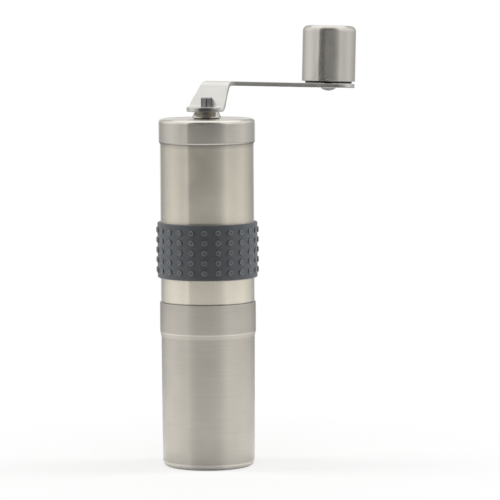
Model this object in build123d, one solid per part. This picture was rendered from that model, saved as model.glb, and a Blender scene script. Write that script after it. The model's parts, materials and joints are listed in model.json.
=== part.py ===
from build123d import *
import os
from math import cos, pi, radians, sin, sqrt, tan

# Hand crank coffee grinder: a slim steel mill with a rubber grip, a grounds cup, a lid,
# a ceramic conical burr set inside, and a lift-off crank with a turning knob.
# Millimetres. +Z is up, the origin is the centre of the cup's base on the mill's axis,
# and the crank arm points along +X.

# Clearances
slip_gap = 0.05  # radial, between steel pieces that slide over each other
running_gap = 0.05  # radial, a shaft or pin in its bush
fit_gap = 0.03  # radial, between pieces that are pressed or glued together
seat_gap = 0.1  # along an axis, where a lifted piece rests or a turning face runs
burr_gap = 0.35  # radial, between the tips of the burrs at the finest setting

# Grounds cup, drawn from sheet and opened out at the top to take the body tube
cup_height = 84.7
cup_base_inset = 0.3  # radial, from the outside of the body tube
cup_neck_inset = 0.025
cup_wall = 0.55
cup_corner_radius = 3.2
cup_socket_depth = 15.3
cup_step_height = 2.1
cup_step_rounding = 3.0

# Body tube, which fits round the burr set
tube_wall = 0.8
tube_length = 106.75

# Grip band with rows of nubs
band_above_cup = 12.7
band_height = 28.3
band_thickness = 1.6
band_edge_rounding = 0.5
nub_rows = 5
nub_columns = 24
nub_row_pitch = 5.1
nub_first_angle = 13.5
nub_diameter = 3.0
nub_top_diameter = 2.0
nub_height = 0.65

# Lid
lid_height = 12.2
lid_wall = 0.65
lid_corner_radius = 2.2
lid_hem_height = 0.8
lid_hem_inset = 0.35

# Lid bush, the dark ring that the shaft turns in
lid_bush_neck_diameter = 11.0
lid_bush_flange_diameter = 13.0
lid_bush_flange_height = 0.35
lid_bush_keeper_diameter = 15.0
lid_bush_keeper_height = 0.9
lid_bush_rounding = 0.15

# Drive shaft
hex_flats = 5.65
hex_stand = 4.9
hex_chamfer = 0.4
shaft_diameter = 7.6
shaft_flange_diameter = 12.0
shaft_flange_height = 1.4
thread_diameter = 5.0
thread_below_nut = 2.5

# Crank arm, one strip of sheet with two bends and a disc at each end
crank_length = 124.3
arm_thickness = 2.3
arm_rise = 12.85
riser_start = -0.2
riser_angle = 52.5
arm_droop = 2.85
foot_bend_radius = 2.6
head_bend_radius = 4.5
hub_radius = 10.3
arm_root_width = 16.8
arm_tip_width = 8.3
arm_end_radius = 14.2
hub_fillet = 25.0
arm_end_fillet = 22.0

# Hub collar, the tapered ferrule under the crank's hub
collar_height = 3.2
collar_top_diameter = 12.1
collar_bottom_diameter = 14.8
collar_lip_height = 0.4

# Knob
knob_diameter = 28.9
knob_height = 30.0
knob_wall = 0.5
knob_corner_radius = 3.0
knob_neck_diameter = 25.2
knob_neck_height = 1.1
knob_core_height = 22.0
knob_core_wall = 1.4
knob_core_floor = 1.8
knob_boss_diameter = 9.6
knob_boss_height = 16.0

# Knob rivet and the spring clip on its upper end
rivet_diameter = 4.0
rivet_head_diameter = 8.4
rivet_head_height = 1.6
rivet_stand = 1.2
rivet_clip_diameter = 8.0
rivet_clip_thickness = 0.7

# Burrs: fine teeth at the bottom, every fourth one opening into a coarse flute at the top
burr_teeth = 24
burr_flute_every = 4
burr_tip_radius = 13.6
burr_slope = 0.207
burr_tooth_lean = 0.28
burr_twist = 30.0
burr_fine_depth = 0.8
burr_land_depth = 0.25
burr_fine_height = 6.0
inner_flute_depth = 2.2
outer_flute_depth = 2.4
outer_burr_diameter = 38.0
outer_burr_height = 15.0
inner_burr_height = 18.0
inner_burr_offset = 0.5
inner_burr_bore = 10.4
burr_key_reach = 6.6
burr_key_width = 3.0

# Burr carrier, which keys the inner burr to the shaft
carrier_flange_diameter = 18.0
carrier_flange_height = 1.0
carrier_stand = 0.5

# Spring and its washers
spring_wire = 1.0
spring_diameter = 11.0
spring_turns = 4
spring_pitch = 1.9
washer_diameter = 14.0
washer_thickness = 0.5

# Adjusting nut
nut_diameter = 22.0
nut_height = 8.0
nut_lobes = 12
nut_scallop_radius = 1.6
nut_recess_diameter = 15.0
nut_recess_depth = 2.5
nut_edge_chamfer = 0.6
detent_count = 12
detent_width = 0.8
detent_depth = 0.4
detent_inner_radius = 6.5

# Burr retainer and its screws
retainer_inset = 2.2
retainer_thickness = 2.4
retainer_bore = 30.0
retainer_clearance = 0.4
screw_count = 3
screw_wall = 4.2  # radial, the housing between the outer burr and the body tube
screw_head_clearance = 0.4
screw_shank_share = 0.54
screw_height_share = 0.38
screw_slot_share = 0.15
screw_length = 9.0

# Burr housing with its three-armed spider
housing_wall = 1.6
throat_diameter = 28.0
shoulder_height = 2.0
spider_arms = 3
spider_arm_width = 4.0
spider_height = 5.0
spider_first_angle = 60.0
boss_wall = 1.4
boss_height = 8.0

# Shaft bush, thrust washer and retaining clip
bush_wall = 1.5
bush_flange_diameter = 12.4
bush_flange_height = 0.8
thrust_washer_diameter = 11.4
clip_thickness = 0.9
clip_diameter = 12.0
clip_groove_depth = 0.8
clip_mouth = 5.0

# Levels that follow from the sizes above
tube_inner_radius = outer_burr_diameter / 2 + screw_wall
tube_radius = tube_inner_radius + tube_wall
shaft_radius = shaft_diameter / 2
hex_corner_radius = hex_flats / sqrt(3)

# The screws stand in the middle of the housing's wall round the outer burr
screw_circle_radius = tube_inner_radius - screw_wall / 2
screw_head_diameter = screw_wall - 2 * screw_head_clearance
screw_head_height = screw_head_diameter * screw_height_share
screw_diameter = screw_head_diameter * screw_shank_share
screw_slot_width = screw_head_diameter * screw_slot_share
screw_slot_depth = screw_slot_width

socket_floor_z = cup_height - cup_socket_depth
tube_bottom_z = socket_floor_z + seat_gap
tube_top_z = tube_bottom_z + tube_length
lid_top_z = tube_top_z + seat_gap + lid_corner_radius
lid_bottom_z = lid_top_z - lid_height

collar_bottom_z = lid_top_z + lid_bush_flange_height + seat_gap
hub_bottom_z = collar_bottom_z + collar_height
hub_top_z = hub_bottom_z + arm_thickness
shaft_top_z = hub_top_z + hex_stand

retainer_bottom_z = tube_bottom_z + retainer_inset
housing_bottom_z = retainer_bottom_z + retainer_thickness
outer_burr_top_z = housing_bottom_z + outer_burr_height
shoulder_z = outer_burr_top_z + fit_gap
inner_burr_bottom_z = housing_bottom_z + inner_burr_offset
inner_burr_top_z = inner_burr_bottom_z + inner_burr_height
carrier_bottom_z = inner_burr_bottom_z - carrier_flange_height
carrier_top_z = inner_burr_top_z + carrier_stand
spring_bottom_z = carrier_top_z + washer_thickness
spring_top_z = spring_bottom_z + spring_turns * spring_pitch + spring_wire
flange_bottom_z = spring_top_z + washer_thickness
flange_top_z = flange_bottom_z + shaft_flange_height
boss_bottom_z = flange_top_z + seat_gap
boss_top_z = boss_bottom_z + boss_height
housing_top_z = boss_bottom_z + spider_height
thrust_washer_z = boss_top_z + bush_flange_height + seat_gap
clip_z = thrust_washer_z + washer_thickness + fit_gap
nut_top_z = carrier_bottom_z - seat_gap
nut_bottom_z = nut_top_z - nut_height
shaft_bottom_z = nut_bottom_z - thread_below_nut

# The crank's middle line, and the plane on top of its end disc where the knob stands
tab_middle_z = hub_bottom_z + arm_thickness / 2
riser_head_x = riser_start + arm_rise / tan(radians(riser_angle))
riser_head_z = tab_middle_z + arm_rise
knob_middle_z = riser_head_z - (crank_length - riser_head_x) * tan(radians(arm_droop))
knob_axis = Vector(sin(radians(arm_droop)), 0, cos(radians(arm_droop)))
knob_plane = Plane(
    origin=Vector(crank_length, 0, knob_middle_z) + knob_axis * (arm_thickness / 2),
    x_dir=(cos(radians(arm_droop)), 0, -sin(radians(arm_droop))),
    z_dir=knob_axis,
)


def turned(*corners):
    """Solid turned about Z from corners of (radius, height, rounding)."""
    points = [(radius, height) for radius, height, rounding in corners]
    roundings = [rounding for radius, height, rounding in corners]
    outline = Plane.XZ * FilletPolyline(*points, radius=roundings, close=True)
    return revolve(make_face(outline), Axis.Z)


def ring(inner_radius, outer_radius, bottom_z, height):
    """Plain ring about Z."""
    return turned(
        (inner_radius, bottom_z, 0),
        (outer_radius, bottom_z, 0),
        (outer_radius, bottom_z + height, 0),
        (inner_radius, bottom_z + height, 0),
    )


def pin(radius, bottom_z, top_z):
    """Plain cylinder about Z."""
    return Pos(0, 0, bottom_z) * extrude(Circle(radius), top_z - bottom_z)


def hex_prism(flats, bottom_z, top_z):
    """Six-sided prism about Z with one pair of flats square to the crank arm."""
    section = RegularPolygon(flats / 2, 6, major_radius=False, rotation=30)
    return Pos(0, 0, bottom_z) * extrude(section, top_z - bottom_z)


def around(count, first_angle=0.0):
    """Rotations about Z, evenly spaced."""
    return [Rot(0, 0, first_angle + index * 360 / count) for index in range(count)]


def grounds_cup():
    base_radius = tube_radius - cup_base_inset
    neck_radius = tube_radius - cup_neck_inset
    socket_radius = tube_radius + slip_gap
    rim_radius = socket_radius + cup_wall
    step_bottom_z = socket_floor_z - cup_step_height
    return turned(
        (0, 0, 0),
        (base_radius, 0, cup_corner_radius),
        (neck_radius, step_bottom_z, cup_step_rounding),
        (rim_radius, socket_floor_z, cup_step_rounding),
        (rim_radius, cup_height, 0),
        (socket_radius, cup_height, 0),
        (socket_radius, socket_floor_z, cup_step_rounding),
        (neck_radius - cup_wall, step_bottom_z, cup_step_rounding),
        (base_radius - cup_wall, cup_wall, cup_corner_radius - cup_wall),
        (0, cup_wall, 0),
    )


def body_tube():
    return ring(tube_inner_radius, tube_radius, tube_bottom_z, tube_length)


def grip_band():
    inner_radius = tube_radius + fit_gap
    outer_radius = tube_radius + band_thickness
    bottom_z = cup_height + band_above_cup
    band = turned(
        (inner_radius, bottom_z, 0),
        (outer_radius, bottom_z, band_edge_rounding),
        (outer_radius, bottom_z + band_height, band_edge_rounding),
        (inner_radius, bottom_z + band_height, 0),
    )
    root_depth = band_thickness / 2
    flare = (nub_diameter - nub_top_diameter) / 2 / nub_height
    root_radius = nub_diameter / 2 + root_depth * flare
    length = nub_height + root_depth
    nub = Rot(0, 90, 0) * Cone(root_radius, nub_top_diameter / 2, length)
    first_row_z = bottom_z + (band_height - (nub_rows - 1) * nub_row_pitch) / 2
    nubs = []
    for turn in around(nub_columns, nub_first_angle):
        for row in range(nub_rows):
            centre_radius = outer_radius + nub_height - length / 2
            nubs.append(turn * Pos(centre_radius, 0, first_row_z + row * nub_row_pitch) * nub)
    return band.fuse(*nubs)


def lid():
    inner_radius = tube_radius + slip_gap
    outer_radius = inner_radius + lid_wall
    hole_radius = lid_bush_neck_diameter / 2 + fit_gap
    return turned(
        (hole_radius, lid_top_z - lid_wall, 0),
        (inner_radius, lid_top_z - lid_wall, lid_corner_radius - lid_wall),
        (inner_radius, lid_bottom_z, 0),
        (outer_radius - lid_hem_inset, lid_bottom_z, 0),
        (outer_radius, lid_bottom_z + lid_hem_height, lid_hem_height),
        (outer_radius, lid_top_z, lid_corner_radius),
        (hole_radius, lid_top_z, 0),
    )


def lid_bush():
    bore_radius = shaft_radius + running_gap
    neck_radius = lid_bush_neck_diameter / 2
    flange_radius = lid_bush_flange_diameter / 2
    keeper_radius = lid_bush_keeper_diameter / 2
    keeper_top_z = lid_top_z - lid_wall
    flange_top = lid_top_z + lid_bush_flange_height
    return turned(
        (bore_radius, keeper_top_z - lid_bush_keeper_height, 0),
        (keeper_radius, keeper_top_z - lid_bush_keeper_height, lid_bush_rounding),
        (keeper_radius, keeper_top_z, 0),
        (neck_radius, keeper_top_z, 0),
        (neck_radius, lid_top_z, 0),
        (flange_radius, lid_top_z, 0),
        (flange_radius, flange_top, lid_bush_rounding),
        (bore_radius, flange_top, 0),
    )


def drive_shaft():
    groove_radius = shaft_radius - clip_groove_depth
    flange_radius = shaft_flange_diameter / 2
    thread_radius = thread_diameter / 2
    journal_top_z = hub_bottom_z - seat_gap
    hex_bottom_z = carrier_bottom_z + carrier_flange_height
    journal = turned(
        (0, flange_bottom_z, 0),
        (flange_radius, flange_bottom_z, 0),
        (flange_radius, flange_top_z, 0),
        (shaft_radius, flange_top_z, 0),
        (shaft_radius, clip_z, 0),
        (groove_radius, clip_z, 0),
        (groove_radius, clip_z + clip_thickness + fit_gap, 0),
        (shaft_radius, clip_z + clip_thickness + fit_gap, 0),
        (shaft_radius, journal_top_z, 0),
        (0, journal_top_z, 0),
    )
    upper_hex = hex_prism(hex_flats, journal_top_z, shaft_top_z)
    upper_hex = chamfer(upper_hex.faces().sort_by(Axis.Z)[-1].edges(), hex_chamfer)
    lower_hex = hex_prism(hex_flats, hex_bottom_z, flange_bottom_z)
    thread = pin(thread_radius, shaft_bottom_z, hex_bottom_z)
    thread = chamfer(thread.edges().sort_by(Axis.Z)[0], hex_chamfer)
    return journal + upper_hex + lower_hex + thread


def bent_strip():
    """The crank's sheet before its outline is cut, bent at the foot and the head of the riser."""
    reach = crank_length + 2 * arm_end_radius
    end_z = riser_head_z - (reach - riser_head_x) * tan(radians(arm_droop))
    middle_line = FilletPolyline(
        (-2 * hub_radius, tab_middle_z),
        (riser_start, tab_middle_z),
        (riser_head_x, riser_head_z),
        (reach, end_z),
        radius=(foot_bend_radius, head_bend_radius),
    )
    section = Plane.XZ * make_face(offset(middle_line, arm_thickness / 2))
    return extrude(section, 2 * arm_end_radius, both=True)


def crank_outline():
    """The crank seen from above: a hub disc, a tapering arm and an end disc, blended together."""
    arm = Polygon(
        (0, -arm_root_width / 2),
        (crank_length, -arm_tip_width / 2),
        (crank_length, arm_tip_width / 2),
        (0, arm_root_width / 2),
        align=None,
    )
    outline = Circle(hub_radius) + arm + Pos(crank_length, 0) * Circle(arm_end_radius)
    off_axis = arm_tip_width / 4

    def concave_corners(shape, low_x, high_x):
        corners = shape.vertices().filter_by(lambda corner: abs(corner.Y) > off_axis)
        return corners.filter_by(lambda corner: low_x < corner.X < high_x)

    outline = fillet(concave_corners(outline, 0, crank_length / 2), hub_fillet)
    return fillet(concave_corners(outline, crank_length / 2, crank_length), arm_end_fillet)


def crank_arm():
    cutter = Pos(0, 0, hub_bottom_z) * extrude(crank_outline(), 2 * arm_rise)
    arm = bent_strip() & cutter
    hex_hole = hex_prism(hex_flats + 2 * slip_gap, hub_bottom_z, shaft_top_z + arm_thickness)
    rivet_hole = pin(rivet_diameter / 2 + fit_gap, -2 * arm_thickness, arm_thickness)
    return arm - hex_hole - knob_plane.location * rivet_hole


def hub_collar():
    bore_radius = shaft_radius + 2 * slip_gap
    top_radius = collar_top_diameter / 2
    bottom_radius = collar_bottom_diameter / 2
    lip_z = collar_bottom_z + collar_lip_height
    return turned(
        (bore_radius, collar_bottom_z, 0),
        (bottom_radius, collar_bottom_z, 0),
        (bottom_radius, lip_z, 0),
        (top_radius, hub_bottom_z, 0),
        (bore_radius, hub_bottom_z, 0),
    )


def knob_levels():
    """Heights above the arm: the core's foot, the shell's lower edge, and the tops of core and boss."""
    foot = seat_gap
    shell_bottom = foot + knob_neck_height
    core_top = shell_bottom + knob_core_height
    boss_top = shell_bottom + knob_boss_height
    return foot, shell_bottom, core_top, boss_top


def knob_shell():
    foot, bottom, core_top, boss_top = knob_levels()
    outer_radius = knob_diameter / 2
    inner_radius = outer_radius - knob_wall
    top = bottom + knob_height
    shell = turned(
        (0, top - knob_wall, 0),
        (inner_radius, top - knob_wall, knob_corner_radius - knob_wall),
        (inner_radius, bottom, 0),
        (outer_radius, bottom, 0),
        (outer_radius, top, knob_corner_radius),
        (0, top, 0),
    )
    return knob_plane.location * shell


def knob_core():
    foot, shell_bottom, core_top, boss_top = knob_levels()
    bore_radius = rivet_diameter / 2 + running_gap
    neck_radius = knob_neck_diameter / 2
    body_radius = knob_diameter / 2 - knob_wall - fit_gap
    hollow_radius = body_radius - knob_core_wall
    boss_radius = knob_boss_diameter / 2
    floor_top = shell_bottom + knob_core_floor
    core = turned(
        (bore_radius, foot, 0),
        (neck_radius, foot, 0),
        (neck_radius, shell_bottom, 0),
        (body_radius, shell_bottom, 0),
        (body_radius, core_top, 0),
        (hollow_radius, core_top, 0),
        (hollow_radius, floor_top, 0),
        (boss_radius, floor_top, 0),
        (boss_radius, boss_top, 0),
        (bore_radius, boss_top, 0),
    )
    return knob_plane.location * core


def knob_rivet():
    foot, shell_bottom, core_top, boss_top = knob_levels()
    shank_radius = rivet_diameter / 2
    head_radius = rivet_head_diameter / 2
    clip_top = boss_top + seat_gap + rivet_clip_thickness
    shank = pin(shank_radius, -arm_thickness, clip_top + rivet_stand)
    dome_radius = (head_radius**2 + rivet_head_height**2) / (2 * rivet_head_height)
    dome = Pos(0, 0, dome_radius - rivet_head_height) * Sphere(dome_radius)
    head = dome & pin(head_radius, -rivet_head_height, 0)
    return knob_plane.location * (shank + Pos(0, 0, -arm_thickness) * head)


def rivet_clip():
    foot, shell_bottom, core_top, boss_top = knob_levels()
    inner_radius = rivet_diameter / 2 + fit_gap
    clip = ring(inner_radius, rivet_clip_diameter / 2, boss_top + seat_gap, rivet_clip_thickness)
    return knob_plane.location * clip


def burr_teeth_at(z, tip_radius, flute_share, flute_depth, twist, outward):
    """One level of burr teeth: a closed ring of tips and roots.

    flute_share runs from 0, where all teeth are alike and fine, to 1, where every fourth root
    is a coarse flute. The roots lie outside the tips when outward is 1 and inside when it is -1.
    """
    points = []
    for tooth in range(burr_teeth):
        full_depth = flute_depth if tooth % burr_flute_every == 0 else burr_land_depth
        depth = burr_fine_depth + flute_share * (full_depth - burr_fine_depth)
        tip_angle = radians(twist + tooth * 360 / burr_teeth)
        root_angle = tip_angle + burr_tooth_lean * 2 * pi / burr_teeth
        root_radius = tip_radius + outward * depth
        points.append((tip_radius * cos(tip_angle), tip_radius * sin(tip_angle), z))
        points.append((root_radius * cos(root_angle), root_radius * sin(root_angle), z))
    return make_face(Polyline(*points, close=True))


def burr_cone(levels, gap, flute_depth, twist, outward):
    """Twisted toothed cone through the levels, with its fine teeth below burr_fine_height."""
    bottom_z = levels[0]
    height = levels[-1] - bottom_z
    sections = []
    for z in levels:
        tip_radius = burr_tip_radius - gap - burr_slope * (z - housing_bottom_z)
        above_fine = max(0.0, z - housing_bottom_z - burr_fine_height)
        flute_share = above_fine / (height - burr_fine_height)
        turn = twist * (z - bottom_z) / height
        sections.append(burr_teeth_at(z, tip_radius, flute_share, flute_depth, turn, outward))
    return loft(sections, ruled=True)


def keyed_section(radius, reach, width):
    """Round section with a key on each side."""
    return Circle(radius) + Rectangle(2 * reach, width)


def inner_burr():
    levels = (inner_burr_bottom_z, housing_bottom_z + burr_fine_height, inner_burr_top_z)
    cone = burr_cone(levels, burr_gap, inner_flute_depth, burr_twist, -1)
    bore = keyed_section(inner_burr_bore / 2, burr_key_reach, burr_key_width)
    return cone - Pos(0, 0, inner_burr_bottom_z) * extrude(bore, inner_burr_height)


def outer_burr():
    levels = (housing_bottom_z - seat_gap, housing_bottom_z + burr_fine_height, outer_burr_top_z + seat_gap)
    cone = burr_cone(levels, 0.0, outer_flute_depth, -burr_twist, 1)
    return pin(outer_burr_diameter / 2, housing_bottom_z, outer_burr_top_z) - cone


def burr_carrier():
    section = keyed_section(
        inner_burr_bore / 2 - fit_gap, burr_key_reach - fit_gap, burr_key_width - 2 * fit_gap
    )
    sleeve = Pos(0, 0, carrier_bottom_z) * extrude(section, inner_burr_top_z - carrier_bottom_z)
    stand = pin(inner_burr_bore / 2 - fit_gap, inner_burr_top_z, carrier_top_z)
    flange = pin(carrier_flange_diameter / 2, carrier_bottom_z, inner_burr_bottom_z)
    return sleeve + stand + flange - hex_prism(hex_flats + 2 * slip_gap, carrier_bottom_z, carrier_top_z)


def biarc(start, start_direction, end, end_direction):
    """Two arcs that leave start and reach end in the given directions and meet smoothly."""
    across = end - start
    along = across.dot(start_direction + end_direction)
    turn = 2 * (1 - start_direction.dot(end_direction))
    reach = (sqrt(along**2 + turn * across.dot(across)) - along) / turn
    meeting = (start + start_direction * reach + end - end_direction * reach) * 0.5
    first = TangentArc(start, meeting, tangent=start_direction)
    return [first, TangentArc(meeting, end, tangent=first % 1)]


def burr_spring():
    radius = (spring_diameter - spring_wire) / 2
    first_z = spring_bottom_z + spring_wire / 2
    climb = spring_pitch / (2 * pi)

    def place(angle):
        return Vector(radius * cos(angle), radius * sin(angle), first_z + climb * angle)

    def heading(angle):
        return Vector(-radius * sin(angle), radius * cos(angle), climb).normalized()

    arcs = []
    for half_turn in range(2 * spring_turns):
        start = half_turn * pi
        arcs += biarc(place(start), heading(start), place(start + pi), heading(start + pi))
    path = Wire(arcs)
    between_turns = (place(2 * pi) - place(0)).length - spring_wire
    print(f"burr_spring: least gap between turns {between_turns:.2f} mm")
    section = Plane(origin=path @ 0, z_dir=path % 0) * Circle(spring_wire / 2)
    return sweep(section, path=path)


def washer(bottom_z, outer_diameter, inner_radius):
    return ring(inner_radius, outer_diameter / 2, bottom_z, washer_thickness)


def adjusting_nut():
    outline = Circle(nut_diameter / 2)
    for turn in around(nut_lobes):
        outline -= turn * Pos(nut_diameter / 2, 0) * Circle(nut_scallop_radius)
    nut = Pos(0, 0, nut_bottom_z) * extrude(outline, nut_height)
    nut = chamfer(nut.faces().sort_by(Axis.Z)[0].outer_wire().edges(), nut_edge_chamfer)
    nut -= pin(thread_diameter / 2 + running_gap, nut_bottom_z, nut_top_z)
    nut -= pin(nut_recess_diameter / 2, nut_bottom_z, nut_bottom_z + nut_recess_depth)
    detent_length = carrier_flange_diameter / 2 - detent_inner_radius
    detent = Box(detent_length, detent_width, 2 * detent_depth)
    detent_centre = detent_inner_radius + detent_length / 2
    for turn in around(detent_count, 180 / nut_lobes):
        nut -= turn * Pos(detent_centre, 0, nut_top_z) * detent
    return nut


def screw_places(z):
    return [turn * Pos(screw_circle_radius, 0, z) for turn in around(screw_count)]


def burr_retainer():
    outer_radius = tube_inner_radius - retainer_clearance
    retainer = ring(retainer_bore / 2, outer_radius, retainer_bottom_z, retainer_thickness)
    hole = pin(screw_diameter / 2 + fit_gap, 0, retainer_thickness)
    for place in screw_places(retainer_bottom_z):
        retainer -= place * hole
    return retainer


def retainer_screws():
    head_radius = screw_head_diameter / 2
    screw = turned(
        (0, -screw_head_height, 0),
        (head_radius, -screw_head_height, screw_head_height / 2),
        (head_radius, 0, 0),
        (screw_diameter / 2, 0, 0),
        (screw_diameter / 2, screw_length, 0),
        (0, screw_length, 0),
    )
    screw -= Pos(0, 0, -screw_head_height) * Box(screw_head_diameter, screw_slot_width, 2 * screw_slot_depth)
    return Compound([place * screw for place in screw_places(retainer_bottom_z)])


def burr_housing():
    outer_radius = tube_inner_radius - fit_gap
    socket_radius = outer_burr_diameter / 2 + fit_gap
    throat_radius = throat_diameter / 2
    rim_radius = outer_radius - housing_wall
    bush_radius = shaft_radius + running_gap + bush_wall
    body = turned(
        (socket_radius, housing_bottom_z, 0),
        (outer_radius, housing_bottom_z, 0),
        (outer_radius, housing_top_z, 0),
        (rim_radius, housing_top_z, 0),
        (throat_radius, shoulder_z + shoulder_height, 0),
        (throat_radius, shoulder_z, 0),
        (socket_radius, shoulder_z, 0),
    )
    arm_length = (rim_radius + outer_radius) / 2
    arm = Pos(arm_length / 2, 0, boss_bottom_z + spider_height / 2)
    arm *= Box(arm_length, spider_arm_width, spider_height)
    for turn in around(spider_arms, spider_first_angle):
        body += turn * arm
    body += pin(bush_radius + boss_wall, boss_bottom_z, boss_top_z)
    body -= pin(bush_radius + fit_gap, boss_bottom_z, boss_top_z)
    pilot = pin(screw_diameter / 2 + fit_gap, 0, screw_length)
    for place in screw_places(housing_bottom_z):
        body -= place * pilot
    return body


def shaft_bush():
    bore_radius = shaft_radius + running_gap
    bush_radius = bore_radius + bush_wall
    return turned(
        (bore_radius, boss_bottom_z, 0),
        (bush_radius, boss_bottom_z, 0),
        (bush_radius, boss_top_z, 0),
        (bush_flange_diameter / 2, boss_top_z, 0),
        (bush_flange_diameter / 2, boss_top_z + bush_flange_height, 0),
        (bore_radius, boss_top_z + bush_flange_height, 0),
    )


def retaining_clip():
    inner_radius = shaft_radius - clip_groove_depth + fit_gap
    clip = ring(inner_radius, clip_diameter / 2, clip_z, clip_thickness)
    mouth = Pos(clip_diameter / 2, 0, clip_z) * Box(clip_diameter, clip_mouth, 4 * clip_thickness)
    return clip - mouth


nodes = {
    "grounds_cup": grounds_cup(),
    "body_tube": body_tube(),
    "grip_band": grip_band(),
    "burr_housing": burr_housing(),
    "shaft_bush": shaft_bush(),
    "outer_burr": outer_burr(),
    "burr_retainer": burr_retainer(),
    "retainer_screws": retainer_screws(),
    "drive_shaft": drive_shaft(),
    "thrust_washer": washer(thrust_washer_z, thrust_washer_diameter, shaft_radius + fit_gap),
    "retaining_clip": retaining_clip(),
    "upper_spring_washer": washer(spring_top_z, washer_diameter, hex_corner_radius + slip_gap),
    "burr_spring": burr_spring(),
    "lower_spring_washer": washer(carrier_top_z, washer_diameter, hex_corner_radius + slip_gap),
    "inner_burr": inner_burr(),
    "burr_carrier": burr_carrier(),
    "adjusting_nut": adjusting_nut(),
    "lid": lid(),
    "lid_bush": lid_bush(),
    "crank_arm": crank_arm(),
    "hub_collar": hub_collar(),
    "knob_rivet": knob_rivet(),
    "rivet_clip": rivet_clip(),
    "knob_core": knob_core(),
    "knob_shell": knob_shell(),
}

os.makedirs("parts", exist_ok=True)
for name, shape in nodes.items():
    export_step(shape, f"parts/{name}.step")
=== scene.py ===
import json
from math import ceil, cos, pi, radians, sin, tan

import bmesh
import bpy
from mathutils import Matrix, Quaternion, Vector


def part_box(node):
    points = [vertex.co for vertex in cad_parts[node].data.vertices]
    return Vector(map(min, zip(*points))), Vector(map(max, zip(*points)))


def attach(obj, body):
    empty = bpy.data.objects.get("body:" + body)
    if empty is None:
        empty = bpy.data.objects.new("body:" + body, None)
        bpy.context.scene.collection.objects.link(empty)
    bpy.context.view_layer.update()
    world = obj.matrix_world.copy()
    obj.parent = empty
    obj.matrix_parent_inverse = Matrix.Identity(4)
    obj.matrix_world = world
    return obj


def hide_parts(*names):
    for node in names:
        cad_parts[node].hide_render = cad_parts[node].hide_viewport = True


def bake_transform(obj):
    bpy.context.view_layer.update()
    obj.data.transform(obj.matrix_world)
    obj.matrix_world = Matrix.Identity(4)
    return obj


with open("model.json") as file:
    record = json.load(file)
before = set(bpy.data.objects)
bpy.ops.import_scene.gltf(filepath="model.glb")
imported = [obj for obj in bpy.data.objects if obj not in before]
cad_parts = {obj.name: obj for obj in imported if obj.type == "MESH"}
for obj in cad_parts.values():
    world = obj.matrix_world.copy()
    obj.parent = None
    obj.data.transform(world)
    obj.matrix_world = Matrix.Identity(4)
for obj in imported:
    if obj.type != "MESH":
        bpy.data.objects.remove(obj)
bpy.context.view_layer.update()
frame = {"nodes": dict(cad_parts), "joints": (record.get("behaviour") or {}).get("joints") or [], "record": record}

# Looks for a slim steel hand coffee mill. Sizes are in millimetres, as in the part, and become
# metres where a mesh or a material is made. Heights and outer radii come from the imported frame.
mm = 0.001

# Turned pieces: sizes inside each node's box
cup_base_radius = 23.7
cup_neck_radius = 23.975
cup_wall = 0.55
cup_corner = 3.2
cup_socket_depth = 15.3
cup_step = 2.1
cup_step_rounding = 3.0
tube_wall = 0.8
sheet_edge = 0.12
lid_wall = 0.65
lid_corner = 1.75
lid_hem_height = 0.6
lid_hem_inset = 0.18
lid_hole_radius = 5.53
bush_bore_radius = 3.85
bush_neck_radius = 5.5
bush_flange_radius = 6.5
bush_flange_height = 0.35
bush_keeper_height = 0.9
bush_edge = 0.15
collar_bore_radius = 3.9
collar_top_radius = 6.05
collar_lip = 0.4
knob_radius = 14.45
knob_height = 30.0
knob_corner = 3.0
knob_wall = 0.5
knob_foot = 0.1
knob_neck_radius = 12.6
knob_neck_height = 1.1
knob_neck_edge = 0.2
knob_core_gap = 0.03
knob_core_height = 22.0
knob_core_wall = 1.4
knob_core_floor = 1.8
knob_boss_radius = 4.8
knob_boss_height = 16.0
knob_bore_radius = 2.05

# Grip band: each nub stands in the middle of a rectangular cell, and its top has a shallow dish
band_radius = 25.6
band_inner_radius = 24.03
band_edge = 0.5
nub_columns = 24
nub_rows = 5
nub_row_pitch = 5.1
nub_first_angle = radians(13.5)
nub_cell_points = 6
nub_radius = 1.55
nub_foot_reach = 0.35
nub_foot_rounding = 0.3
nub_height = 0.65
nub_top_radius = 1.25
nub_top_rounding = 0.2
nub_dish_radius = 0.95
nub_dish_rounding = 0.1
nub_dish_depth = 0.18
nub_dish_floor_share = 0.5
nub_dish_middle_share = 0.2

# Spring
spring_radius = 5.0
spring_wire_radius = 0.5
spring_turns = 4
spring_steps_a_turn = 64
spring_sides = 14

# How finely meshes are made, and which of their edges count as sharp
turned_segments = 192
arc_step = radians(9)
nub_arc_step = radians(30)
smallest_ring = 1e-6
sharp_to_light = radians(32)
sharp_to_light_on_band = radians(60)
sharp_to_bevel = radians(30)
bevel_segments = 2
merge_within = 0.001
flat_within = radians(0.5)

# Wear and painted highlight show within about this distance of an edge, and painted shade under a neighbour fades
# over this height
wear_and_highlight_reach = 0.4
shade_band = 1.2

# Parts of the range of a noise, and of pointiness, over which a look changes
noise_range = (0.3, 0.7)
smudge_range = (0.35, 0.65)
faint_edge_range = (0.507, 0.514)
steel_edge_range = (0.54, 0.66)
plastic_edge_range = (0.54, 0.68)
tooth_root_range = (0.40, 0.49)

# Marks, as noise cells to the metre. Those round the axis give X and Y together, then height and
# radius together. The arm's give X, Y and Z.
coarse_brushing = (35.0, 1500.0)
fine_brushing = (90.0, 5200.0)
coarse_share = 0.45
turning_marks = (40.0, 4000.0)
arm_brushing = (25.0, 2600.0, 2600.0)

# Where looks change along the arm (painted shade on the cut edges), out from the shaft's axis, up from the band
# (painted shade on the nubs' sides), and down from the nubs' tops (painted highlight)
arm_shaded_cut_begins = (8.0, 16.0)
arm_shaded_cut_ends = (110.0, 122.0)
hexagon_corner_begins = (3.08, 3.18)
hexagon_corner_ends = (3.30, 3.34)
nub_side_shade_begins = (0.06, 0.18)
nub_side_shade_ends = (0.35, 0.22)
nub_tip_highlight_begins = (0.20, 0.04)

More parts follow.
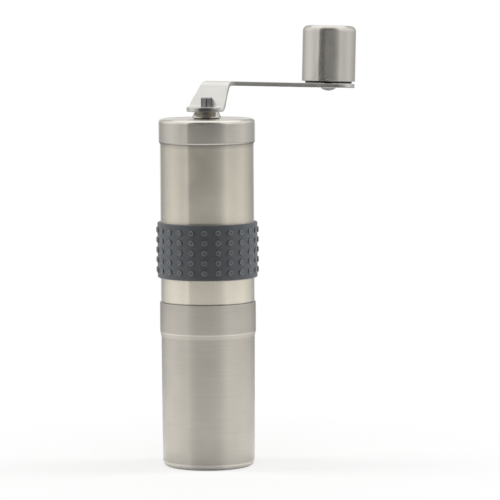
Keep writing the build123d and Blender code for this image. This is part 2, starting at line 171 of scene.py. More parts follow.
# The arm's cut edges and its faces, by how far a surface looks up or down
arm_cut_lean = (0.15, 0.5)
arm_satin_lean = (0.2, 0.5)

# The photograph's view, in pixels of its 500 by 500 frame and millimetres
view_azimuth = radians(-58.0)
view_distance = 1800.0
view_height = 272.0
aim_height = 110.95
aim_right = 21.75
view_focal_pixels = 3525.0
view_pixels = 500.0
view_roll = radians(-0.33)
view_sensor = 36.0
view_clip_metres = 20.0
towards_camera = Vector((sin(view_azimuth), -cos(view_azimuth), 0.0))
right_of_camera = Vector((-towards_camera.y, towards_camera.x, 0.0))

# What the steel reflects, as (degrees to the right of the camera, brightness): panels stand above
# the horizon, and a darker strip lies along it
panel_light = [
    (-180, 0.88), (-168, 0.80), (-158, 0.55), (-143, 0.74), (-120, 1.26), (-95, 1.18), (-69, 0.97),
    (-52, 1.20), (-49, 1.04), (-45, 0.28), (-28, 0.17), (-11, 0.12), (0, 0.12), (16, 0.17), (31, 0.38),
    (41, 0.74), (49, 1.30), (75, 1.14), (102, 1.20), (130, 0.96), (143, 0.70), (158, 0.55), (168, 0.80),
    (180, 0.88),
]
horizon_light = [
    (-180, 0.80), (-164, 0.80), (-154, 0.50), (-126, 0.70), (-94, 1.00), (-75, 0.80), (-64, 0.50),
    (-50, 0.38), (-44, 0.12), (0, 0.06), (22, 0.10), (40, 0.26), (56, 0.38), (66, 0.50), (75, 0.70),
    (94, 1.00), (126, 0.70), (154, 0.50), (164, 0.80), (180, 0.80),
]

# Where the panels begin and the strip ends, as (share of the way from straight down to straight up,
# how much of it shows)
panels_begin = [(0.51, 0.0), (0.545, 1.0)]
strip_ends = [(0.41, 1.0), (0.445, 0.0)]
below_light = (0.25, 0.25, 0.245)
overhead_light = 1.6
overhead_tilt = radians(13.0)
overhead_reach = radians(35.0)
overhead_fade = radians(6.0)
ambient_light = 0.13

# The floor, with distances from its middle in metres, near and far, over which each look changes
floor_radius = 0.45
floor_segments = 96
floor_drop = 0.05
floor_shine = 2.5
floor_far_shine = 1.55
floor_shine_range = (0.10, 0.25)
# Share of the floor's glow left close to the object: a painted contact shadow in the steel's reflections
floor_contact_shadow_share = 0.1
floor_contact_shadow_range = (0.024, 0.038)
floor_whiteness = 0.70
floor_white_range = (0.05, 0.20)

# Lamps, as (name, degrees to the right of the camera, metres out, metres up, watts, metres across)
lamps = [
    ("left_panel", -95, 0.9, 0.42, 8.5, 0.4),
    ("right_panel", 95, 0.9, 0.42, 8.5, 0.4),
    ("top_panel", 0, 0.25, 0.95, 3.0, 0.5),
]

bodies = frame["record"]["behaviour"]["bodies"]
body_of = {node: body for body, nodes in bodies.items() for node in nodes}
slot_of = {entry["node"]: entry["material_slot"] for entry in frame["record"]["subparts"]}


def heights(node):
    """Heights in millimetres of a node's bottom and top."""
    return [corner.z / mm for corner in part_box(node)]


def outer_radius(node):
    """Outer radius in millimetres of a node turned about the mill's axis."""
    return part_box(node)[1].y / mm


def metres(sizes):
    return [size * mm for size in sizes]


def colour(red, green, blue):
    return (red, green, blue, 1.0)


def grey(light):
    return colour(light, light, light)


# Nodes for materials and for the world
class Tree:
    """Adds nodes to a node tree and links them."""

    def __init__(self, tree):
        self.tree = tree

    def node(self, kind, inputs=None, **settings):
        node = self.tree.nodes.new(kind)
        for name, value in settings.items():
            setattr(node, name, value)
        for name, value in (inputs or {}).items():
            self.feed(node.inputs[name], value)
        return node

    def feed(self, socket, value):
        if isinstance(value, bpy.types.NodeSocket):
            self.tree.links.new(value, socket)
        else:
            socket.default_value = value

    def maths(self, operation, first, second=0.0):
        return self.node("ShaderNodeMath", {0: first, 1: second}, operation=operation).outputs[0]

    def vector(self, operation, first, second=(0.0, 0.0, 0.0)):
        return self.node("ShaderNodeVectorMath", {0: first, 1: second}, operation=operation)

    def split(self, vector):
        return self.node("ShaderNodeSeparateXYZ", {0: vector}).outputs

    def noise(self, vector, scale, detail):
        inputs = {"Vector": vector, "Scale": scale, "Detail": detail}
        return self.node("ShaderNodeTexNoise", inputs).outputs[0]

    def spread(self, factor, low, high, start=0.0, stop=1.0):
        """Low to high while the factor goes from start to stop, and level outside them."""
        inputs = {"Value": factor, "From Min": start, "From Max": stop, "To Min": low, "To Max": high}
        return self.node("ShaderNodeMapRange", inputs).outputs[0]

    def within(self, factor, begins, ends, peak=1.0):
        """Up from 0 to the peak between the two begins, and back down to 0 between the two ends."""
        rise = self.spread(factor, 0.0, peak, *begins)
        return self.maths("MULTIPLY", rise, self.spread(factor, 1.0, 0.0, *ends))

    def scaled(self, tint, factor):
        node = self.vector("SCALE", tint)
        self.feed(node.inputs["Scale"], factor)
        return node.outputs[0]

    def ramp(self, factor, stops):
        node = self.node("ShaderNodeValToRGB", {0: factor})
        elements = node.color_ramp.elements
        while len(elements) < len(stops):
            elements.new(1.0)
        for element, (position, value) in zip(elements, stops):
            element.position = position
            element.color = grey(value)
        return node.outputs[0]

    def blend(self, factor, first, second):
        node = self.node("ShaderNodeMix", data_type="RGBA")
        for socket, value in zip((node.inputs[0], node.inputs[6], node.inputs[7]), (factor, first, second)):
            self.feed(socket, value)
        return node.outputs[2]


class Surface(Tree):
    """A material with one Principled shader, whose constants are set on its own sockets."""

    def __init__(self, name, **constants):
        self.material = bpy.data.materials.new(name)
        self.material.use_nodes = True
        super().__init__(self.material.node_tree)
        self.shader = self.tree.nodes["Principled BSDF"]
        for socket, value in constants.items():
            self.shader.inputs[socket.replace("_", " ")].default_value = value
        self.place = self.node("ShaderNodeTexCoord").outputs["Object"]
        self.geometry = self.node("ShaderNodeNewGeometry").outputs

    def paint(self, socket, value):
        self.feed(self.shader.inputs[socket], value)

    def raise_bumps(self, height, strength, distance):
        """Bumps that follow a height, with their distance in millimetres."""
        inputs = {"Strength": strength, "Distance": distance * mm, "Height": height}
        self.paint("Normal", self.node("ShaderNodeBump", inputs).outputs[0])

    def from_axis(self):
        """Distance in metres from the object's Z axis."""
        flat = self.vector("MULTIPLY", self.place, (1.0, 1.0, 0.0)).outputs[0]
        return self.vector("LENGTH", flat).outputs["Value"]

    def round_marks(self, slow, fast, detail):
        """Noise that runs round the axis: slow in X and Y, and fast with height and radius."""
        x, y, z = self.split(self.place)
        inputs = {
            0: self.maths("MULTIPLY", x, slow),
            1: self.maths("MULTIPLY", y, slow),
            2: self.maths("MULTIPLY", self.maths("ADD", self.from_axis(), z), fast),
        }
        stretched = self.node("ShaderNodeCombineXYZ", inputs).outputs[0]
        return self.noise(stretched, scale=1.0, detail=detail)

    def edges(self, low, high):
        """0 on flat faces and 1 on outer edges."""
        return self.spread(self.geometry["Pointiness"], 0.0, 1.0, low, high)


def brushed_steel(name, tint, edge_tint, roughness, contrast, shade_lines=()):
    """Steel brushed round its axis, with fine streaks, smudges, paler edges of their own tint (partly wear, partly
    a painted highlight) and lines of painted shade.
    """
    steel = Surface(name, Metallic=1.0, Anisotropic=1.0, Anisotropic_Rotation=0.25)
    steel.paint("Tangent", steel.node("ShaderNodeTangent", direction_type="RADIAL", axis="Z").outputs[0])
    coarse = steel.maths("MULTIPLY", steel.round_marks(*coarse_brushing, detail=3.0), coarse_share)
    fine = steel.maths("MULTIPLY", steel.round_marks(*fine_brushing, detail=2.0), 1.0 - coarse_share)
    grain = steel.maths("ADD", coarse, fine)
    smudge = steel.noise(steel.place, scale=70.0, detail=3.0)
    streaked = steel.scaled(tint, steel.spread(grain, 1.0 - contrast, 1.0 + contrast, *noise_range))
    # Paler edge tint on the rounded edges: partly wear and partly a painted highlight
    shown = steel.blend(steel.edges(*faint_edge_range), streaked, colour(*edge_tint))
    # Painted shade: darker colour in lines where a neighbouring part or the floor shades the steel
    painted_shade = colour(0.10, 0.095, 0.09)
    for dark_z, unshaded_z, depth in shade_lines:
        z = steel.split(steel.place)[2]
        hidden_z = dark_z + (shade_band if dark_z > unshaded_z else -shade_band)
        shade_amount = steel.spread(z, depth, 0.0, dark_z * mm, unshaded_z * mm)
        fade_under_neighbour = steel.spread(z, 0.0, 1.0, hidden_z * mm, dark_z * mm)
        shown = steel.blend(steel.maths("MULTIPLY", shade_amount, fade_under_neighbour), shown, painted_shade)
    steel.paint("Base Color", shown)
    rough = steel.maths("ADD", steel.spread(grain, -0.004, 0.004, *noise_range), roughness)
    steel.paint("Roughness", steel.maths("ADD", rough, steel.spread(smudge, -0.02, 0.02, *noise_range)))
    steel.raise_bumps(grain, strength=0.1 * contrast, distance=0.002)
    return steel.material


def arm_steel():
    """Satin sheet brushed along the arm, with duller, rougher cut edges between its two ends, darkened with
    painted shade.
    """
    steel = Surface("arm_steel", Metallic=1.0)
    long = steel.vector("MULTIPLY", steel.place, arm_brushing).outputs[0]
    grain = steel.noise(long, scale=1.0, detail=3.0)
    smudge = steel.noise(steel.place, scale=90.0, detail=3.0)
    upright = steel.maths("ABSOLUTE", steel.split(steel.geometry["Normal"])[2])
    x = steel.split(steel.place)[0]
    between = steel.within(x, metres(arm_shaded_cut_begins), metres(arm_shaded_cut_ends))
    cut = steel.maths("MULTIPLY", steel.spread(upright, 1.0, 0.0, *arm_cut_lean), between)
    face = steel.blend(grain, colour(0.53, 0.517, 0.486), colour(0.65, 0.637, 0.606))
    # Painted shade: the cut edges' darker colour stands in for the shade along the arm's sides
    edge = steel.blend(grain, colour(0.17, 0.165, 0.155), colour(0.33, 0.32, 0.30))
    worn = colour(0.80, 0.78, 0.74)
    steel.paint("Base Color", steel.blend(steel.edges(*steel_edge_range), steel.blend(cut, face, edge), worn))
    satin = steel.spread(upright, 0.16, 0.40, *arm_satin_lean)
    satin = steel.maths("ADD", satin, steel.spread(cut, 0.0, 0.2))
    steel.paint("Roughness", steel.maths("ADD", satin, steel.spread(smudge, -0.04, 0.04, *noise_range)))
    steel.raise_bumps(grain, strength=0.08, distance=0.04)
    return steel.material


def polish(steel, roughness):
    """Puts turning marks and smudges on polished steel, and gives the marks back."""
    marks = steel.round_marks(*turning_marks, detail=2.0)
    smudge = steel.noise(steel.place, scale=260.0, detail=4.0)
    steel.paint("Roughness", steel.spread(smudge, *roughness, *smudge_range))
    steel.raise_bumps(marks, strength=0.05, distance=0.03)
    return marks


def bright_steel(name, tint, roughness):
    """Turned and polished steel with faint tool marks and paler edges."""
    steel = Surface(name, Metallic=1.0)
    marks = polish(steel, roughness)
    marked = steel.scaled(tint, steel.spread(marks, 0.86, 1.05, *noise_range))
    worn = colour(0.85, 0.83, 0.79)
    steel.paint("Base Color", steel.blend(steel.edges(*steel_edge_range), marked, worn))
    return steel.material


def shaft_steel():
    """Dark hardened steel with turning marks, blacker along the corners of its hexagons."""
    steel = Surface("shaft_steel", Metallic=1.0)
    marks = polish(steel, roughness=(0.14, 0.26))
    base = steel.blend(marks, colour(0.25, 0.245, 0.24), colour(0.36, 0.352, 0.345))
    begins, ends = metres(hexagon_corner_begins), metres(hexagon_corner_ends)
    corner = steel.within(steel.from_axis(), begins, ends, peak=0.9)
    steel.paint("Base Color", steel.blend(corner, base, colour(0.03, 0.03, 0.032)))
    return steel.material


def grip_rubber():
    """Matt slate rubber: fine moulded grain, painted shade on the nub sides, a painted highlight on the nub tops
    and a little dust.
    """
    rubber = Surface("grip_rubber", Specular_IOR_Level=0.42, Sheen_Weight=0.12, Sheen_Roughness=0.5)
    grain = rubber.noise(rubber.place, scale=5200.0, detail=4.0)
    cloud = rubber.noise(rubber.place, scale=130.0, detail=3.0)
    specks = rubber.noise(rubber.place, scale=1500.0, detail=1.0)
    radius = rubber.from_axis()
    nub_top = outer_radius("grip_band")
    side_shade_begins = metres(band_radius + rise for rise in nub_side_shade_begins)
    side_shade_ends = metres(nub_top - drop for drop in nub_side_shade_ends)
    tip_highlight_begins = metres(nub_top - drop for drop in nub_tip_highlight_begins)
    base = rubber.blend(cloud, colour(0.058, 0.064, 0.070), colour(0.083, 0.089, 0.095))
    # Painted shade: darker colour on the nubs' sides
    sides = rubber.blend(rubber.within(radius, side_shade_begins, side_shade_ends), base, colour(0.022, 0.025, 0.028))
    # Painted highlight: paler colour on the nubs' tops
    tips = rubber.blend(rubber.spread(radius, 0.0, 1.0, *tip_highlight_begins), sides, colour(0.132, 0.138, 0.145))
    dust = rubber.spread(specks, 0.0, 0.7, 0.735, 0.78)
    rubber.paint("Base Color", rubber.blend(dust, tips, grey(0.30)))
    rubber.paint("Roughness", rubber.spread(grain, 0.50, 0.66, *noise_range))
    rubber.raise_bumps(grain, strength=0.12, distance=0.08)
    return rubber.material


def black_plastic():
    """Moulded black plastic with a fine spark-eroded grain and greyer worn edges."""
    plastic = Surface("black_plastic", Specular_IOR_Level=0.5)
    grain = plastic.noise(plastic.place, scale=6500.0, detail=3.0)
    cloud = plastic.noise(plastic.place, scale=160.0, detail=3.0)
    base = plastic.blend(cloud, colour(0.016, 0.016, 0.017), colour(0.030, 0.030, 0.031))
    worn = colour(0.075, 0.075, 0.078)
    plastic.paint("Base Color", plastic.blend(plastic.edges(*plastic_edge_range), base, worn))
    plastic.paint("Roughness", plastic.spread(grain, 0.38, 0.56, *noise_range))
    plastic.raise_bumps(grain, strength=0.1, distance=0.06)
    return plastic.material


def ceramic():
    """Fired off-white ceramic with a faint mottle and coffee-stained roots."""
    stone = Surface("ceramic", Specular_IOR_Level=0.55, Subsurface_Weight=0.05, Subsurface_Scale=0.001)
    mottle = stone.noise(stone.place, scale=420.0, detail=4.0)
    specks = stone.noise(stone.place, scale=2400.0, detail=2.0)
    base = stone.blend(mottle, colour(0.68, 0.65, 0.58), colour(0.80, 0.77, 0.70))
    root = stone.spread(stone.geometry["Pointiness"], 0.5, 0.0, *tooth_root_range)
    stained = stone.blend(root, base, colour(0.34, 0.24, 0.15))
    speckled = stone.blend(stone.spread(specks, 0.0, 0.4, 0.7, 0.76), stained, colour(0.45, 0.40, 0.33))
    stone.paint("Base Color", speckled)
    stone.paint("Roughness", stone.spread(mottle, 0.28, 0.42, *noise_range))
    stone.raise_bumps(specks, strength=0.06, distance=0.05)
    return stone.material


def bronze():
    """Sintered bronze: warm, porous and a little oily."""
    metal = Surface("bronze", Metallic=1.0)
    pores = metal.noise(metal.place, scale=3800.0, detail=4.0)
    cloud = metal.noise(metal.place, scale=240.0, detail=3.0)
    base = metal.blend(cloud, colour(0.36, 0.22, 0.10), colour(0.50, 0.33, 0.16))
    pitted = metal.blend(metal.spread(pores, 0.6, 0.0, 0.3, 0.42), base, colour(0.12, 0.07, 0.03))
    metal.paint("Base Color", pitted)
    metal.paint("Roughness", metal.spread(cloud, 0.30, 0.46, *noise_range))
    metal.raise_bumps(pores, strength=0.1, distance=0.06)
    return metal.material


cup_rim_z = heights("grounds_cup")[1]
lid_rim_z = heights("lid")[0]

# Lines of painted shade, as (height where it is darkest, height where it ends, how much it darkens)
cup_shade_lines = [(0.0, 1.2, 0.3)]
lid_shade_lines = [(lid_rim_z, lid_rim_z + 0.9, 0.75)]
tube_shade_lines = [
    (cup_rim_z + 0.2, cup_rim_z + 0.9, 0.85),
    (lid_rim_z, lid_rim_z - 0.7, 0.5),
    (lid_rim_z, lid_rim_z - 2.6, 0.35),
]

cup_tint = (0.462, 0.433, 0.386)
tube_tint = (0.605, 0.565, 0.483)
# Edge tints: partly wear and partly a painted highlight on the fillets
worn_and_highlight_tint = (0.74, 0.71, 0.65)
lid_tint = (0.585, 0.555, 0.50)
lid_worn_and_highlight_tint = (0.65, 0.62, 0.56)
knob_tint = (0.585, 0.56, 0.515)
materials = {
    "brushed_steel": brushed_steel(
        "brushed_steel", cup_tint, worn_and_highlight_tint, roughness=0.48, contrast=0.06, shade_lines=cup_shade_lines
    ),
    "tube_steel": brushed_steel(
        "tube_steel", tube_tint, worn_and_highlight_tint, roughness=0.25, contrast=0.035, shade_lines=tube_shade_lines
    ),
    "lid_steel": brushed_steel(
        "lid_steel", lid_tint, lid_worn_and_highlight_tint, roughness=0.23, contrast=0.035, shade_lines=lid_shade_lines
    ),
    "knob_steel": brushed_steel("knob_steel", knob_tint, knob_tint, roughness=0.24, contrast=0.02),
    # A darker copy of bright_steel: painted shade for the collar under the arm's hub
    "shaded_collar_steel": bright_steel("shaded_collar_steel", (0.55, 0.53, 0.49), roughness=(0.15, 0.22)),
    "arm_steel": arm_steel(),
    "shaft_steel": shaft_steel(),
    "bright_steel": bright_steel("bright_steel", (0.66, 0.64, 0.60), roughness=(0.10, 0.22)),
    # A much darker copy of bright_steel: painted shade for the rivet's head under the arm
    "shaded_rivet_steel": bright_steel("shaded_rivet_steel", (0.12, 0.118, 0.113), roughness=(0.22, 0.36)),
    "spring_steel": bright_steel("spring_steel", (0.42, 0.41, 0.39), roughness=(0.22, 0.36)),
    "grip_rubber": grip_rubber(),
    "black_plastic": black_plastic(),
    "ceramic": ceramic(),
    "bronze": bronze(),
}


# Meshes
def rounded(corners, step=arc_step):
    """Points of (radius, height) along corners of (radius, height, rounding), with arcs at the corners."""
    points = []
    for index, (radius, height, rounding) in enumerate(corners):
        here = Vector((radius, height))
        if rounding == 0:
            points.append(here)
            continue
        back = (Vector(corners[index - 1][:2]) - here).normalized()
        ahead = (Vector(corners[(index + 1) % len(corners)][:2]) - here).normalized()
        half = back.angle(ahead) / 2
        sweep = pi - 2 * half
        centre = here + (back + ahead).normalized() * (rounding / sin(half))
        arm = here + back * (rounding / tan(half)) - centre
        turn = sweep if back.cross(ahead) < 0 else -sweep
        steps = max(2, ceil(sweep / step))
        for index_on_arc in range(steps + 1):
            points.append(centre + Matrix.Rotation(turn * index_on_arc / steps, 2) @ arm)
    return points


def supported(points):
    """Points with four more on each long straight run, so that edge wear and painted highlights stay close to the
    edges.
    """
    shortest_run = 6 * wear_and_highlight_reach
    held = []
    for start, end in zip(points, points[1:] + points[:1]):
        run = end - start
        held.append(start)
        if run.length > shortest_run:
            near = run.normalized() * wear_and_highlight_reach
            held += [start + near, start + 2 * near, end - 2 * near, end - near]
    return held


def spin(bm, outline, segments, first_angle=0.0, closed=True):
    """Turns an outline about Z into bm."""
    rings = []
    for radius, height in outline:
        count = segments if radius > smallest_ring else 1
        angles = [first_angle + 2 * pi * index / segments for index in range(count)]
        places = [Vector((radius * cos(angle), radius * sin(angle), height)) * mm for angle in angles]
        rings.append([bm.verts.new(place) for place in places])
    for ring, following in zip(rings, rings[1:] + rings[:1] if closed else rings[1:]):
        if len(ring) == 1 and len(following) == 1:
            continue
        for index in range(segments):
            after = (index + 1) % segments
            face = [ring[index % len(ring)], ring[after % len(ring)]]
            face += [following[after % len(following)], following[index % len(following)]]
            bm.faces.new(list(dict.fromkeys(face)))


def make_piece(name, bm, node, material=None, place=None, sharp_angle=sharp_to_light):
    """A piece that stands for a CAD node, with that node's slot and a material."""
    bmesh.ops.recalc_face_normals(bm, faces=bm.faces)
    mesh = bpy.data.meshes.new(name)
    bm.to_mesh(mesh)
    bm.free()
    kept_normals = mesh.attributes.get("custom_normal")
    if kept_normals:
        mesh.attributes.remove(kept_normals)
    mesh.shade_smooth()
    mesh.set_sharp_from_angle(angle=sharp_angle)
    mesh.materials.clear()
    mesh.materials.append(materials[material or slot_of[node]])
    piece = bpy.data.objects.new(name, mesh)
    bpy.context.scene.collection.objects.link(piece)
    if place:
        piece.matrix_world = place
    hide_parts(node)
    return piece


def weight_normals(piece):
    piece.modifiers.new("even_faces", "WEIGHTED_NORMAL").keep_sharp = True


def lathe(node, corners, material=None, place=None):
    """A node turned again from its corners, finer than the CAD mesh."""
    bm = bmesh.new()
    spin(bm, supported(rounded(corners)), turned_segments)
    piece = make_piece(node + "_turned", bm, node, material, place)
    weight_normals(piece)
    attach(piece, body_of[node])


def soften(node, bevel, material=None, sharp_within=0.0):
    """A node's own mesh with small bevels on its sharp edges, except within a radius of the mill's axis."""
    bm = bmesh.new()
    bm.from_mesh(frame["nodes"][node].data)
    bmesh.ops.remove_doubles(bm, verts=bm.verts, dist=merge_within * mm)
    bmesh.ops.dissolve_limit(bm, angle_limit=flat_within, verts=bm.verts, edges=bm.edges)
    if bevel:
        sharp = [edge for edge in bm.edges if edge.is_manifold and edge.calc_face_angle() > sharp_to_bevel]
        sharp = [edge for edge in sharp if max(vert.co.xy.length for vert in edge.verts) > sharp_within * mm]
        bmesh.ops.bevel(
            bm,
            geom=sharp,
            offset=bevel * mm,
            segments=bevel_segments,
            profile=0.5,
            affect="EDGES",
            clamp_overlap=True,
        )
    piece = make_piece(node + "_softened", bm, node, material)
    weight_normals(piece)
    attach(piece, body_of[node])


def grounds_cup():
    rim_radius = outer_radius("grounds_cup")
    socket_radius = rim_radius - cup_wall
    floor_z = cup_rim_z - cup_socket_depth
    lathe("grounds_cup", [
        (0, 0, 0),
        (cup_base_radius, 0, cup_corner),
        (cup_neck_radius, floor_z - cup_step, cup_step_rounding),
        (rim_radius, floor_z, cup_step_rounding),
        (rim_radius, cup_rim_z, sheet_edge),
        (socket_radius, cup_rim_z, sheet_edge),
        (socket_radius, floor_z, cup_step_rounding),
        (cup_neck_radius - cup_wall, floor_z - cup_step, cup_step_rounding),
        (cup_base_radius - cup_wall, cup_wall, cup_corner - cup_wall),
        (0, cup_wall, 0),
    ])


def body_tube():
    radius = outer_radius("body_tube")
    bottom, top = heights("body_tube")
    lathe("body_tube", [
        (radius - tube_wall, bottom, sheet_edge),
        (radius, bottom, sheet_edge),
        (radius, top, sheet_edge),
        (radius - tube_wall, top, sheet_edge),
    ], "tube_steel")


def lid():
    radius = outer_radius("lid")
    bottom, top = heights("lid")
    inner_radius = radius - lid_wall
    lathe("lid", [
        (lid_hole_radius, top - lid_wall, 0),
        (inner_radius, top - lid_wall, lid_corner - lid_wall),
        (inner_radius, bottom, 0),
        (radius - lid_hem_inset, bottom, 0),
        (radius, bottom + lid_hem_height, lid_hem_height),
        (radius, top, lid_corner),
        (lid_hole_radius, top, 0),
    ], "lid_steel")


def lid_bush():
    keeper_radius = outer_radius("lid_bush")
    bottom, top = heights("lid_bush")
    keeper_top = bottom + bush_keeper_height
    flange_bottom = top - bush_flange_height
    lathe("lid_bush", [
        (bush_bore_radius, bottom, 0),
        (keeper_radius, bottom, bush_edge),
        (keeper_radius, keeper_top, 0),
        (bush_neck_radius, keeper_top, 0),
        (bush_neck_radius, flange_bottom, 0),
        (bush_flange_radius, flange_bottom, 0),
        (bush_flange_radius, top, bush_edge),
        (bush_bore_radius, top, bush_edge),
    ])


def hub_collar():
    radius = outer_radius("hub_collar")
    bottom, top = heights("hub_collar")
    lathe("hub_collar", [
        (collar_bore_radius, bottom, 0),
        (radius, bottom, sheet_edge),
        (radius, bottom + collar_lip, sheet_edge),
        (collar_top_radius, top, sheet_edge),
        (collar_bore_radius, top, 0),
    ], "shaded_collar_steel")


def knob_frame():
    """The knob's own axes, from its joint."""
    joint = next(joint for joint in frame["joints"] if joint["name"] == "knob_turn")
    up = Vector(joint["axis"]).normalized()
    turn = Vector((0, 0, 1)).rotation_difference(up).to_matrix().to_4x4()
    return Matrix.Translation(joint["pos_m"]) @ turn


def knob():
    place = knob_frame()
    bottom = knob_foot + knob_neck_height
    top = bottom + knob_height
    inner_radius = knob_radius - knob_wall
    lathe("knob_shell", [
        (0, top - knob_wall, 0),
        (inner_radius, top - knob_wall, knob_corner - knob_wall),
        (inner_radius, bottom, sheet_edge),
        (knob_radius, bottom, sheet_edge),
        (knob_radius, top, knob_corner),
        (0, top, 0),
    ], "knob_steel", place)
    core_radius = inner_radius - knob_core_gap
    core_top = bottom + knob_core_height
    hollow_radius = core_radius - knob_core_wall
    hollow_bottom = bottom + knob_core_floor
    boss_top = bottom + knob_boss_height
    lathe("knob_core", [
        (knob_bore_radius, knob_foot, 0),
        (knob_neck_radius, knob_foot, knob_neck_edge),
        (knob_neck_radius, bottom, 0),
        (core_radius, bottom, 0),
        (core_radius, core_top, 0),
        (hollow_radius, core_top, 0),
        (hollow_radius, hollow_bottom, 0),
        (knob_boss_radius, hollow_bottom, 0),
        (knob_boss_radius, boss_top, 0),
        (knob_bore_radius, boss_top, 0),
    ], place=place)


def nub_rings(cell_width):
    """One cell of the band, from its border in to the nub's middle, as rings of (along, up, rise)."""
    half_width, half_height = cell_width / 2, nub_row_pitch / 2
    corners = [(-1, -1), (1, -1), (1, 1), (-1, 1)]
    border = []
    for (x0, y0), (x1, y1) in zip(corners, corners[1:] + corners[:1]):
        for index in range(nub_cell_points):
            share = index / nub_cell_points
            border.append(((x0 + (x1 - x0) * share) * half_width, (y0 + (y1 - y0) * share) * half_height))
    dish_bottom = nub_height - nub_dish_depth
    outline = rounded([
        (nub_radius + nub_foot_reach, 0, 0),
        (nub_radius, 0, nub_foot_rounding),
        (nub_top_radius, nub_height, nub_top_rounding),
        (nub_dish_radius, nub_height, nub_dish_rounding),
        (nub_dish_radius * nub_dish_floor_share, dish_bottom, 0),
        (nub_dish_radius * nub_dish_middle_share, dish_bottom, 0),
    ], nub_arc_step)
    rings = [[(along, up, 0.0) for along, up in border]]
    directions = [Vector(point).normalized() for point in border]
    for radius, rise in outline:
        rings.append([(radius * direction.x, radius * direction.y, rise) for direction in directions])
    return rings


def grip_band():
    bottom, top = heights("grip_band")
    cell_angle = 2 * pi / nub_columns
    first_row_z = (bottom + top - (nub_rows - 1) * nub_row_pitch) / 2
    rings = nub_rings(cell_angle * band_radius)
    bm = bmesh.new()
    for column in range(nub_columns):
        for row in range(nub_rows):
            made = []
            for ring in rings:
                made.append([])
                for along, up, rise in ring:
                    angle = nub_first_angle + column * cell_angle + along / band_radius
                    radius = band_radius + rise
                    z = first_row_z + row * nub_row_pitch + up
                    made[-1].append(bm.verts.new(Vector((radius * cos(angle), radius * sin(angle), z)) * mm))
            for ring, inner in zip(made, made[1:]):
                for index in range(len(ring)):
                    after = (index + 1) % len(ring)
                    bm.faces.new((ring[index], ring[after], inner[after], inner[index]))
            bm.faces.new(made[-1])
    grid_bottom = first_row_z - nub_row_pitch / 2
    grid_top = grid_bottom + nub_rows * nub_row_pitch
    outline = rounded([
        (band_radius, grid_bottom, 0),
        (band_radius, bottom, band_edge),
        (band_inner_radius, bottom, 0),
        (band_inner_radius, top, 0),
        (band_radius, top, band_edge),
        (band_radius, grid_top, 0),
    ])
    spin(bm, outline, nub_columns * nub_cell_points, nub_first_angle - cell_angle / 2, closed=False)
    bmesh.ops.remove_doubles(bm, verts=bm.verts, dist=merge_within * mm)
    piece = make_piece("grip_band_moulded", bm, "grip_band", sharp_angle=sharp_to_light_on_band)
    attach(piece, body_of["grip_band"])


def burr_spring():
    """The spring as a round wire, which stretches between the shaft's flange and the burr."""
    bottom, top = heights("burr_spring")
    first_z = bottom + spring_wire_radius
    climb = (top - bottom - 2 * spring_wire_radius) / (2 * pi * spring_turns)
    steps = spring_steps_a_turn * spring_turns
    turns = [2 * pi * side / spring_sides for side in range(spring_sides)]
    bm = bmesh.new()
    rings = []
    for step in range(steps + 1):
        angle = 2 * pi * spring_turns * step / steps
        out = Vector((cos(angle), sin(angle), 0))
        heading = Vector((-spring_radius * sin(angle), spring_radius * cos(angle), climb)).normalized()
        centre = out * spring_radius + Vector((0, 0, first_z + climb * angle))
        across = heading.cross(out)
        places = [centre + (out * cos(turn) + across * sin(turn)) * spring_wire_radius for turn in turns]
        rings.append([bm.verts.new(place * mm) for place in places])
    for ring, following in zip(rings, rings[1:]):
        for side in range(spring_sides):
            after = (side + 1) % spring_sides
            bm.faces.new((ring[side], ring[after], following[after], following[side]))
    bm.faces.new(rings[0])
    bm.faces.new(rings[-1])
    piece = make_piece("burr_spring_wire", bm, "burr_spring")
    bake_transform(piece)


# Stage
def pale_floor():
    """A floor that whitens away from the middle, keeps a faint shadow and shines in the steel."""
    bm = bmesh.new()
    bmesh.ops.create_circle(bm, cap_ends=True, segments=floor_segments, radius=floor_radius)
    mesh = bpy.data.meshes.new("floor")
    bm.to_mesh(mesh)
    bm.free()
    floor = bpy.data.objects.new("floor", mesh)
    floor.location.z = -floor_drop * mm
    bpy.context.scene.collection.objects.link(floor)
    paper = Surface("floor_paper", Roughness=0.8)
    paper.paint("Base Color", colour(0.82, 0.815, 0.80))
    path = paper.node("ShaderNodeLightPath").outputs
    from_middle = paper.from_axis()
    shine = paper.spread(from_middle, floor_shine, floor_far_shine, *floor_shine_range)
    # Painted contact shadow: the floor's glow in the steel dims close to the object
    contact_shadow = paper.spread(from_middle, floor_contact_shadow_share, 1.0, *floor_contact_shadow_range)
    strength = paper.spread(path["Is Glossy Ray"], 1.0, paper.maths("MULTIPLY", shine, contact_shadow))
    glow = paper.node("ShaderNodeEmission", {"Color": grey(1.0), "Strength": strength}).outputs[0]
    whiteness = paper.spread(from_middle, floor_whiteness, 1.0, *floor_white_range)
    seen = paper.maths("MULTIPLY", path["Is Camera Ray"], whiteness)
    reflected = paper.maths("MAXIMUM", path["Is Glossy Ray"], path["Is Transmission Ray"])
    shown = paper.maths("MAXIMUM", seen, reflected)
    mix = paper.node("ShaderNodeMixShader", {0: shown, 1: paper.shader.outputs[0], 2: glow}).outputs[0]
    paper.feed(paper.tree.nodes["Material Output"].inputs["Surface"], mix)
    mesh.materials.append(paper.material)


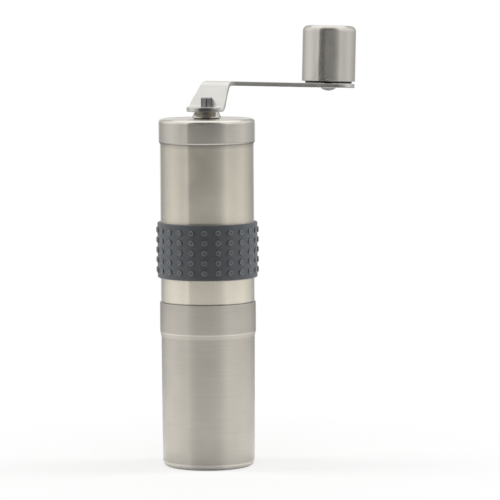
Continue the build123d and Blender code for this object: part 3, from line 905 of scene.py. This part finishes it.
def surround():
    """A world that is white to the camera, shaped in reflections and dim to matt surfaces."""
    world = bpy.data.worlds.new("surround")
    world.use_nodes = True
    world.cycles.sampling_method = "NONE"
    bpy.context.scene.world = world
    sky = Tree(world.node_tree)
    direction = sky.node("ShaderNodeTexCoord").outputs["Generated"]

    def along(axis):
        return sky.vector("DOT_PRODUCT", direction, tuple(axis)).outputs["Value"]

    def all_round(lights):
        return sky.ramp(round_share, [(0.5 + degrees / 360, light) for degrees, light in lights])

    bearing = sky.maths("ARCTAN2", along(right_of_camera), along(towards_camera))
    round_share = sky.spread(bearing, 0.0, 1.0, -pi, pi)
    panels = all_round(panel_light)
    horizon = all_round(horizon_light)
    up_share = sky.spread(sky.split(direction)[2], 0.0, 1.0, -1.0, 1.0)
    lower = sky.blend(sky.ramp(up_share, strip_ends), horizon, colour(*below_light))
    sides = sky.blend(sky.ramp(up_share, panels_begin), lower, panels)
    overhead_axis = Vector((0, 0, cos(overhead_tilt))) - towards_camera * sin(overhead_tilt)
    overhead_range = (cos(overhead_reach + overhead_fade), cos(overhead_reach))
    overhead = sky.spread(along(overhead_axis), 0.0, 1.0, *overhead_range)
    reflected = sky.blend(overhead, sides, grey(overhead_light))
    path = sky.node("ShaderNodeLightPath").outputs
    glossy = sky.maths("MAXIMUM", path["Is Glossy Ray"], path["Is Transmission Ray"])
    lit = sky.blend(glossy, grey(ambient_light), reflected)
    background = sky.tree.nodes["Background"]
    sky.feed(background.inputs["Color"], sky.blend(path["Is Camera Ray"], lit, grey(1.0)))
    background.inputs["Strength"].default_value = 1.0


def lights():
    """Soft panels that light the matt surfaces and don't show in the steel."""
    aim = Vector((0, 0, aim_height)) * mm
    for name, degrees, out, up, watts, size in lamps:
        lamp = bpy.data.lights.new(name, "AREA")
        lamp.energy = watts
        lamp.size = size
        light = bpy.data.objects.new(name, lamp)
        light.location = Quaternion((0, 0, 1), radians(degrees)) @ towards_camera * out + Vector((0, 0, up))
        light.rotation_euler = (aim - light.location).to_track_quat("-Z", "Y").to_euler()
        light.visible_glossy = False
        bpy.context.scene.collection.objects.link(light)


def camera():
    lens = bpy.data.cameras.new("photo_view")
    lens.sensor_width = view_sensor
    lens.lens = view_focal_pixels / view_pixels * view_sensor
    lens.clip_end = view_clip_metres
    seat = bpy.data.objects.new("photo_view", lens)
    seat.location = (towards_camera * view_distance + Vector((0, 0, view_height))) * mm
    aim = (right_of_camera * aim_right + Vector((0, 0, aim_height))) * mm
    look = (aim - seat.location).to_track_quat("-Z", "Y")
    seat.rotation_euler = (look @ Quaternion((0, 0, 1), view_roll)).to_euler()
    bpy.context.scene.collection.objects.link(seat)
    bpy.context.scene.camera = seat
    bpy.context.scene.view_settings.view_transform = "Standard"


grounds_cup()
body_tube()
grip_band()
lid()
lid_bush()
hub_collar()
knob()
burr_spring()
soften("crank_arm", bevel=0.3, sharp_within=4.0)
soften("drive_shaft", bevel=0.12, material="shaft_steel")
soften("knob_rivet", bevel=0.2, material="shaded_rivet_steel")
bevels = {
    "rivet_clip": 0.1,
    "burr_housing": 0.2,
    "shaft_bush": 0.2,
    "outer_burr": 0.0,
    "inner_burr": 0.0,
    "burr_carrier": 0.15,
    "burr_retainer": 0.3,
    "retainer_screws": 0.06,
    "thrust_washer": 0.08,
    "retaining_clip": 0.12,
    "upper_spring_washer": 0.08,
    "lower_spring_washer": 0.08,
    "adjusting_nut": 0.25,
}
for node, bevel in bevels.items():
    soften(node, bevel)
pale_floor()
surround()
lights()
camera()
